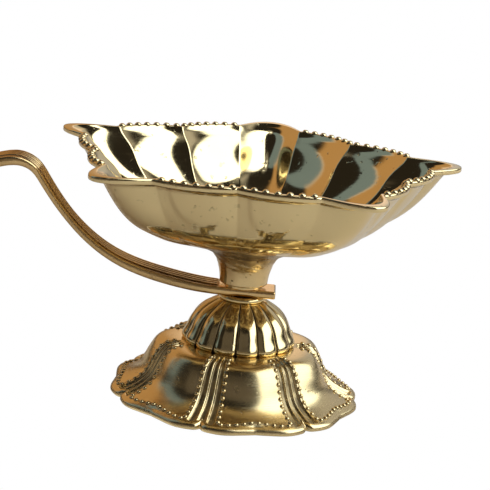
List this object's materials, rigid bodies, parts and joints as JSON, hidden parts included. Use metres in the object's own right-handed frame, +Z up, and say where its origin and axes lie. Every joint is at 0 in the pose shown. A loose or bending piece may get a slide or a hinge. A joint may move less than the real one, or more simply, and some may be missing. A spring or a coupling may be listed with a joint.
{
  "type": "hand-held five-wick oil lamp",
  "caption": "Cast brass hand lamp: a five-cornered scalloped bowl on a short neck, fluted dome and lobed foot, with a reeded strip handle held in the stem.",
  "frame": {"origin": "on the lamp's upright axis, on the plane that the foot stands on", "axes": "+Z up along the stud; the handle leaves the axis towards -X; +Y away from the side that shows the bowl's front scallops"},
  "size_m": [0.2151, 0.1253, 0.077],
  "materials": {
    "bowl_brass": "polished inside, satin turned outside",
    "neck_brass": "as cast near the bowl, brushed below",
    "washer_brass": "dull, darkened",
    "strip_brass": "drawn, reeded, polished on the crests",
    "collar_brass": "turned and polished",
    "dome_brass": "polished flutes, dark in the valleys",
    "foot_brass": "polished panels, dark grooves",
    "stud_steel": "plated, threaded",
    "foot_washer_steel": "plated",
    "nut_steel": "plated"
  },
  "bodies": {
    "base": {"foot": "foot_brass", "dome": "dome_brass", "collar": "collar_brass", "tie_stud": "stud_steel", "foot_washer": "foot_washer_steel", "foot_nut": "nut_steel"},
    "handle": {"handle_strip": "strip_brass"},
    "seat_washer": {"neck_washer": "washer_brass"},
    "bowl_and_neck": {"bowl": "bowl_brass", "neck": "neck_brass"}
  },
  "joints": [
    {"name": "handle_swivel", "type": "hinge", "parent": "base", "child": "handle", "pos_m": [0, 0, 0.0342], "axis": [0, 0, 1], "continuous": true},
    {"name": "bowl_unscrew", "type": "hinge", "parent": "base", "child": "seat_washer", "pos_m": [0, 0, 0.036], "axis": [0, 0, 1], "range_deg": [0, 1800]},
    {"name": "bowl_rise", "type": "slide", "parent": "seat_washer", "child": "bowl_and_neck", "axis": [0, 0, 1], "range_m": [0, 0.005]}
  ],
  "couplings": [
    {"joint": "bowl_rise", "follows": "bowl_unscrew", "m_per_rad": 0.000159}
  ]
}
